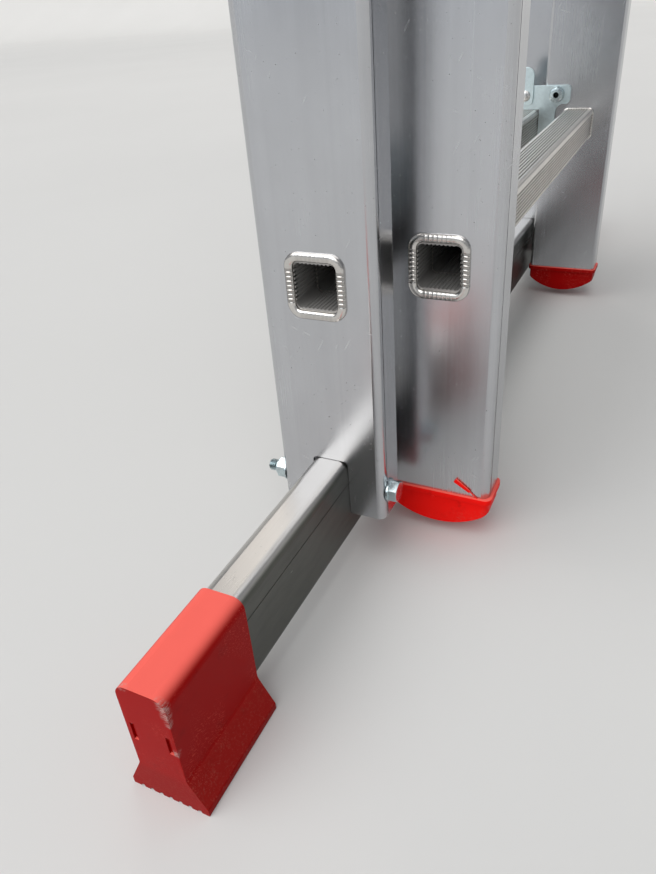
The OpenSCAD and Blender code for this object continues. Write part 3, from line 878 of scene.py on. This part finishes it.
def build_bar(material):
    """The stabiliser tube, with the fine line of a die seam along its upright sides."""
    low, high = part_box("stabiliser_bar")
    size, centre = high - low, (low + high) / 2
    w, h = size.y / 2, size.z / 2
    above = h - BAR_SEAM_DROP + BAR_SEAM_W / 2
    below = above - BAR_SEAM_W
    back = [(-w, -h, BAR_R), (w, -h, BAR_R), (w, below, 0), (w - BAR_SEAM_DEPTH, below, 0),
            (w - BAR_SEAM_DEPTH, above, 0), (w, above, 0), (w, h, BAR_R)]
    front = [(-w, h, BAR_R), (-w, above, 0), (BAR_SEAM_DEPTH - w, above, 0),
             (BAR_SEAM_DEPTH - w, below, 0), (-w, below, 0)]
    body = thicken(flat_outline(back + front, "YZ"), (low.x, 0, 0), (size.x, 0, 0))
    inside = rectangle(size.y - 2 * BAR_WALL, size.z - 2 * BAR_WALL, BAR_R - BAR_WALL)
    hollow = flat_outline(inside, "YZ")
    thicken(hollow, (low.x - OVERSHOOT, 0, 0), (size.x + 2 * OVERSHOOT, 0, 0))
    body = combine(body, hollow, "DIFFERENCE")
    bmesh.ops.translate(body, verts=body.verts, vec=(0, centre.y, centre.z))
    add_piece("stabiliser_tube", body, material, "base", ["stabiliser_bar"])


def foot_corners(sleeve_w, base_w, top):
    """End view of a bar foot, with the grooves of its sole cut up into it."""
    s, b = sleeve_w / 2, base_w / 2
    waist = FOOT_BASE_EDGE + FOOT_FLARE
    corners = [(b, FOOT_BASE_EDGE, 0.8 * MM), (s, waist, 1.2 * MM), (s, top, FOOT_TOP_R),
               (-s, top, FOOT_TOP_R), (-s, waist, 1.2 * MM), (-b, FOOT_BASE_EDGE, 0.8 * MM),
               (-b, 0, 0.5 * MM)]
    mouth, bed = SOLE_GROOVE / 2, SOLE_GROOVE / 4
    for i in range(1, SOLE_RIBS):
        y = i * base_w / SOLE_RIBS - b
        corners += [(y - mouth, 0, 0.3 * MM), (y - bed, SOLE_GROOVE_RISE, 0),
                    (y + bed, SOLE_GROOVE_RISE, 0), (y + mouth, 0, 0.3 * MM)]
    corners.append((b, 0, 0.5 * MM))
    return corners


def build_bar_foot(side, material):
    """Moulded sleeve with a flared, ribbed sole; drawn for the right and mirrored for the left."""
    node = f"bar_foot_{side}"
    low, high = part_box(node)
    size, centre = high - low, (low + high) / 2
    bar_size, bar_z = extent("stabiliser_bar"), middle("stabiliser_bar").z
    body = flat_outline(foot_corners(bar_size.y + 2 * FOOT_WALL, size.y, size.z), "YZ")
    thicken(body, (0, 0, 0), (size.x, 0, 0))
    rim = [edge for edge in body.edges if is_square_to(edge, 0)
           and edge.verts[0].co.x > size.x / 2
           and edge.verts[0].co.z + edge.verts[1].co.z > 4 * MM]
    soften(body, rim, FOOT_RIM, 4)
    inside = rectangle(bar_size.y + POCKET_GAP, bar_size.z + POCKET_GAP, BAR_R)
    pocket = flat_outline(inside, "YZ")
    thicken(pocket, (-OVERSHOOT, 0, bar_z), (size.x + 1 * MM, 0, 0))
    body = combine(body, pocket, "DIFFERENCE")
    marks = bmesh.new()
    for y in (-FOOT_MARK_Y, FOOT_MARK_Y):
        face = Vector((size.x, y, bar_z))
        add_box(marks, face - FOOT_MARK / 2, face + FOOT_MARK / 2)
    body = combine(body, marks, "DIFFERENCE")
    if side == "left":
        mirror_across_x(body)
    mouth_x = low.x if side == "right" else high.x
    bmesh.ops.translate(body, verts=body.verts, vec=(mouth_x, centre.y, 0))
    add_piece(f"{side}_ground_foot", body, material, "base", [node])


# ---------- fly feet and top caps ----------

MOULD_EDGE = 0.9 * MM
GATE_R = 1.3 * MM
GATE_FROM_STILE = Vector((0, 2.3, -7)) * MM
FLASH_SIZE = Vector((1.5, 13, 3.2)) * MM
FLASH_FROM_STILE = Vector((-0.9, -18.8, 8.2)) * MM
FLASH_TILT_DEG = 35
THREAD_R = 0.35 * MM
THREAD_LENGTH = 9 * MM
THREAD_FROM_STILE = Vector((-0.6, -26.2, 2.6)) * MM
THREAD_TILT_DEG = 42


def moulding_flash(stile_end):
    """A torn strip of moulding flash that hangs by a thread from the near foot's lip."""
    strip = bmesh.new()
    made = bmesh.ops.create_cube(strip, size=1.0)["verts"]
    bmesh.ops.scale(strip, verts=made, vec=FLASH_SIZE)
    narrow = [vert for vert in made if vert.co.y < 0]
    bmesh.ops.scale(strip, verts=narrow, vec=(0.7, 1, 0.6))
    bmesh.ops.subdivide_edges(strip, edges=strip.edges[:], cuts=2, use_grid_fill=True)
    square = [edge for edge in strip.edges if edge.calc_face_angle(0.0) > math.radians(57)]
    soften(strip, square, 0.25 * MM)
    strip_turn = Matrix.Rotation(math.radians(FLASH_TILT_DEG), 4, "X")
    thread = bmesh.new()
    add_rod(thread, (0, 0, 0), "Y", THREAD_R, THREAD_LENGTH, 10)
    thread_turn = Matrix.Rotation(math.radians(THREAD_TILT_DEG), 4, "X")
    return [(strip, Matrix.Translation(stile_end + FLASH_FROM_STILE) @ strip_turn),
            (thread, Matrix.Translation(stile_end + THREAD_FROM_STILE) @ thread_turn)]


def build_fly_foot(side, material):
    """Plug with a proud lip, a curved rocking sole and the round mark of its moulding gate."""
    node = f"fly_foot_{side}"
    stile = f"fly_stile_{side}"
    low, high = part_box(stile)
    stile_end = Vector((low.x if side == "left" else high.x, middle(stile).y, low.z))
    gate = lathe([(0, -0.5 * MM), (GATE_R, -0.5 * MM), (GATE_R, 0.15 * MM), (GATE_R * 0.8, 0.3 * MM),
                  (GATE_R * 0.45, 0.2 * MM), (GATE_R * 0.2, 0.45 * MM), (0, 0.5 * MM)], 24)
    parts = [(eased_copy(node, MOULD_EDGE, 3), Matrix.Identity(4)),
             (gate, along((SIDES[side], 0, 0), stile_end + GATE_FROM_STILE))]
    if side == "left":
        parts += moulding_flash(stile_end)
    add_piece(f"fly_{side}_rocker_foot", merged(parts), material, "fly", [node])


def build_top_cap(section, side, material):
    node = f"{section}_top_cap_{side}"
    body = eased_copy(node, MOULD_EDGE, 3)
    add_piece(f"{section}_{side}_end_cap", body, material, section, [node])


# ---------- fasteners ----------

HEX_AF = 13 * MM
BOLT_R = 4 * MM
HEAD_H = 5.3 * MM
WASHER_R = 8 * MM
WASHER_T = 1.6 * MM
WASHER_EDGE = 0.25 * MM
CHAMFER_DROP = 0.9 * MM
THREAD_PITCH = 1.25 * MM
THREAD_DEPTH = 0.7 * MM
THREAD_RUN = 12 * MM
BOLT_TIP = 6 * MM
FLANGE_SHARE = 0.72
PLATE_T = 3 * MM


def chamfered_hexagon(height, chamfer_low, chamfer_high, start=0.0):
    """A hexagon prism along +Z whose corners are turned down at the ends that are chamfered."""
    corner_r = HEX_AF / math.sqrt(3)
    prism = bmesh.new()
    bmesh.ops.create_cone(prism, cap_ends=True, segments=6, radius1=corner_r, radius2=corner_r,
                          depth=height, matrix=Matrix.Translation((0, 0, height / 2)))
    outside = corner_r + 1 * MM
    flat_r = HEX_AF / 2 - 0.15 * MM
    low_r = flat_r if chamfer_low else outside
    high_r = flat_r if chamfer_high else outside
    below = -0.1 * MM
    turned = lathe([(0, below), (low_r, 0 if chamfer_low else below), (outside, CHAMFER_DROP),
                    (outside, height - CHAMFER_DROP), (high_r, height), (0, height)], 64)
    body = combine(prism, turned, "INTERSECT")
    bmesh.ops.translate(body, verts=body.verts, vec=(0, 0, start))
    return body


def bolt_mesh(grip):
    """A hexagon bolt along +Z from under its head, with thread grooves on the showing tip."""
    head = chamfered_hexagon(HEAD_H, True, False, -HEAD_H)
    shank = [(0, -0.5 * MM), (BOLT_R, -0.5 * MM)]
    end = grip + BOLT_TIP
    turns = int((BOLT_TIP + THREAD_RUN) / THREAD_PITCH)
    for i in range(turns):
        crest = end - (turns - i) * THREAD_PITCH
        shank += [(BOLT_R, crest), (BOLT_R - THREAD_DEPTH, crest + THREAD_PITCH / 2)]
    shank += [(BOLT_R - 0.5 * MM, end - 0.3 * MM), (BOLT_R - 1.4 * MM, end), (0, end)]
    return [head, lathe(shank, 40)]


def locking_nut_mesh(height):
    """A hexagon nut along +Z with the raised ring that holds its locking insert."""
    body = chamfered_hexagon(height * FLANGE_SHARE, True, True)
    bore_r, ring_r = BOLT_R + 0.05 * MM, HEX_AF / 2 - 0.7 * MM
    ring = lathe([(bore_r, 0.2 * MM), (ring_r, 0.2 * MM), (ring_r, height - 1.2 * MM),
                  (ring_r - 1 * MM, height), (BOLT_R + 0.6 * MM, height),
                  (bore_r, height - 0.8 * MM), (bore_r, 0.2 * MM)], 48)
    return [body, ring]


def washer_mesh(bore_r):
    """A flat washer along +Z; one without a bore closes on its axis."""
    profile = [(bore_r, 0), (WASHER_R - WASHER_EDGE, 0), (WASHER_R, WASHER_EDGE),
               (WASHER_R, WASHER_T - WASHER_EDGE), (WASHER_R - WASHER_EDGE, WASHER_T),
               (bore_r, WASHER_T)]
    if bore_r > 0:
        profile.append((bore_r, 0))
    return [lathe(profile)]


def group(name, makers, material, body, node):
    """One piece from several placed copies: makers holds (list of bmeshes, matrix) pairs."""
    whole = merged((bm, matrix) for bms, matrix in makers for bm in bms)
    add_piece(name, whole, material, body, [node])


def build_bar_fasteners(material):
    """Bolts through the stiles' flanges and the bar, front to back."""
    low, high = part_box("base_stile_left")
    nut_h = extent("bar_nuts").y
    grip = high.y - low.y + 2 * WASHER_T + nut_h
    bore_r = BOLT_R + 0.2 * MM

    def seated(sign, y):
        x = sign * (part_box("bar_washers")[1].x - WASHER_R)
        return along((0, 1, 0), (x, y, middle("bar_bolts").z))

    bolts, washers, nuts = [], [], []
    for sign in SIDES.values():
        bolts.append((bolt_mesh(grip), seated(sign, low.y - WASHER_T)))
        washers.append((washer_mesh(bore_r), seated(sign, low.y - WASHER_T)))
        washers.append((washer_mesh(bore_r), seated(sign, high.y)))
        nuts.append((locking_nut_mesh(nut_h), seated(sign, high.y + WASHER_T)))
    group("bar_bolt_pair", bolts, material, "base", "bar_bolts")
    group("bar_washer_set", washers, material, "base", "bar_washers")
    group("bar_nut_pair", nuts, material, "base", "bar_nuts")


def build_guide_fasteners(material):
    """Two bolts through each base stile and the guide on its inner web, from outside inwards."""
    low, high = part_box("guide_washers")
    nut_h = extent("bar_nuts").y
    through = extent("base_stile_left").x + PLATE_T
    bore_r = BOLT_R + 0.2 * MM

    def seated(sign, z, inset):
        spot = (sign * (high.x - inset), middle("guide_washers").y, z)
        return along((-sign, 0, 0), spot)

    bolts, washers, nuts = [], [], []
    for z in (low.z + WASHER_R, high.z - WASHER_R):
        for sign in SIDES.values():
            bolts.append((bolt_mesh(WASHER_T + through + nut_h), seated(sign, z, 0)))
            washers.append((washer_mesh(bore_r), seated(sign, z, 0)))
            nuts.append((locking_nut_mesh(nut_h), seated(sign, z, WASHER_T + through)))
    group("guide_bolt_set", bolts, material, "base", "guide_bolts")
    group("guide_washer_set", washers, material, "base", "guide_washers")
    group("guide_nut_set", nuts, material, "base", "guide_nuts")


# ---------- guides, rung hooks and latches ----------

SOCKET_R = 2.9 * MM
SCREW_REACH = 13.9 * MM
HOOK_RIVET_R = 4 * MM
LATCH_RIVET_R = 5.5 * MM
LATCH_PLAY = 0.3 * MM
HOOK_EDGE = 0.45 * MM
LATCH_EDGE = 0.4 * MM
GUIDE_EDGE = 0.5 * MM


def rivet_mesh(head_r, head_from, head_t, shank_r, tail_r, tail_from, tail_t):
    """A rivet along +Z: domed head above head_from, flat-domed tail below tail_from."""
    top, bottom = head_from + head_t, tail_from - tail_t
    profile = [(0, bottom), (tail_r * 0.7, bottom + 0.1 * tail_t), (tail_r, bottom + 0.6 * tail_t),
               (tail_r, tail_from), (shank_r, tail_from), (shank_r, head_from), (head_r, head_from),
               (head_r, head_from + 0.25 * head_t), (head_r * 0.86, head_from + 0.62 * head_t),
               (head_r * 0.6, head_from + 0.88 * head_t), (head_r * 0.3, head_from + 0.98 * head_t),
               (0, top)]
    return lathe(profile, 36)


def hook_screw_mesh():
    """Hexagon head with a hollow centre, its deep faces marked for painted shade, over a flat
    washer, and its shank behind them.
    """
    head = chamfered_hexagon(HEAD_H, False, True, WASHER_T)
    socket = bmesh.new()
    top = WASHER_T + HEAD_H
    add_rod(socket, (0, 0, top), "Z", SOCKET_R, 10 * MM, 32)
    head = combine(head, socket, "DIFFERENCE")
    hollow = head.verts.layers.float.new("hollow")
    for vert in head.verts:
        deep = vert.co.xy.length < SOCKET_R + 0.1 * MM and vert.co.z < top - 0.6 * MM
        vert[hollow] = 1.0 if deep else 0.0
    shank = lathe([(0, -SCREW_REACH), (BOLT_R, -SCREW_REACH), (BOLT_R, -0.1 * MM),
                   (0, -0.1 * MM)], 32)
    return [head, *washer_mesh(0), shank]


def build_hooks(plate, fastener, rivet):
    """Bent plates, with the screws and rivets that stand on the hook plates' inner faces."""
    for side in SIDES:
        hook, latch, guide = f"hook_plate_{side}", f"latch_{side}", f"guide_{side}"
        add_piece(f"{side}_rung_hook", eased_copy(hook, HOOK_EDGE), plate, "fly",
                  [hook])
        add_piece(f"{side}_latch_plate", eased_copy(latch, LATCH_EDGE), plate,
                  latch, [latch])
        add_piece(f"{side}_fly_guide", eased_copy(guide, GUIDE_EDGE), plate,
                  "base", [guide])
    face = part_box("hook_plate_right")[0].x

    def pair(node, make):
        spot = middle(node)
        return [(make(), along((-sign, 0, 0), (sign * face, spot.y, spot.z)))
                for sign in SIDES.values()]

    def hook_rivet():
        return [rivet_mesh(head_r=HOOK_RIVET_R, head_from=0, head_t=1.6 * MM, shank_r=2 * MM,
                           tail_r=3 * MM, tail_from=-PLATE_T - STILE_WALL, tail_t=1.6 * MM)]

    def latch_rivet():
        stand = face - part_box("latch_right")[0].x + LATCH_PLAY
        return [rivet_mesh(head_r=LATCH_RIVET_R, head_from=stand, head_t=2 * MM, shank_r=3 * MM,
                           tail_r=LATCH_RIVET_R, tail_from=-PLATE_T, tail_t=2 * MM)]

    group("hook_screw_pair", pair("hook_screws", hook_screw_mesh), fastener,
          "fly", "hook_screws")
    group("hook_rivet_pair", pair("hook_rivets", hook_rivet), rivet, "fly",
          "hook_rivets")
    group("latch_rivet_pair", pair("latch_rivets", latch_rivet), rivet, "fly",
          "latch_rivets")


# ---------- build ----------

place_camera()
build_studio()

stile_metal = extruded_aluminium("stile aluminium", "Z", (0.39, 0.395, 0.41, 1),
                                 (0.68, 0.69, 0.715, 1), 0.25)
# The bar's upright sides carry painted shade.
bar_metal = extruded_aluminium("bar aluminium", "X", (0.40, 0.39, 0.375, 1),
                               (0.68, 0.66, 0.63, 1), 0.30, bar_shaded_sides)
rung_metal = swaged_aluminium("rung aluminium")
bright_red = moulded_red("red moulding", (0.74, 0.004, 0.003, 1), (1.0, 0.010, 0.006, 1))
# A copy of the red moulding with painted shade, darker for the shade that the right fly foot sits
# in; the left foot and the caps keep the bright copy.
shaded_red = moulded_red("red moulding, painted shade", (0.26, 0.001, 0.001, 1), (0.36, 0.001, 0.001, 1))
foot_red = moulded_red("red moulding, worn feet", (0.27, 0.001, 0.001, 1),
                       (0.36, 0.002, 0.001, 1), worn_spots(), FOOT_BASE_EDGE + FOOT_FLARE)
plate_zinc = zinc("zinc plate", (0.56, 0.67, 0.69, 1), (0.82, 0.95, 0.98, 1), 0.28)
bolt_zinc = zinc("zinc fasteners", (0.38, 0.44, 0.45, 1), (0.74, 0.86, 0.90, 1), 0.2)
rivet_metal = zinc("rivet aluminium", (0.58, 0.58, 0.57, 1), (0.86, 0.86, 0.85, 1), 0.24)

for section in ("base", "fly"):
    for side in SIDES:
        build_stile(section, side, stile_metal)
        build_top_cap(section, side, bright_red)
    build_rungs(section, rung_metal)
build_bar(bar_metal)
for side in SIDES:
    build_bar_foot(side, foot_red)
    # The right fly foot takes the painted-shade copy of the red.
    build_fly_foot(side, bright_red if side == "left" else shaded_red)
build_bar_fasteners(bolt_zinc)
build_guide_fasteners(bolt_zinc)
build_hooks(plate_zinc, bolt_zinc, rivet_metal)
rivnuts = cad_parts["hook_rivnuts"].data.materials
rivnuts.clear()
rivnuts.append(bolt_zinc)
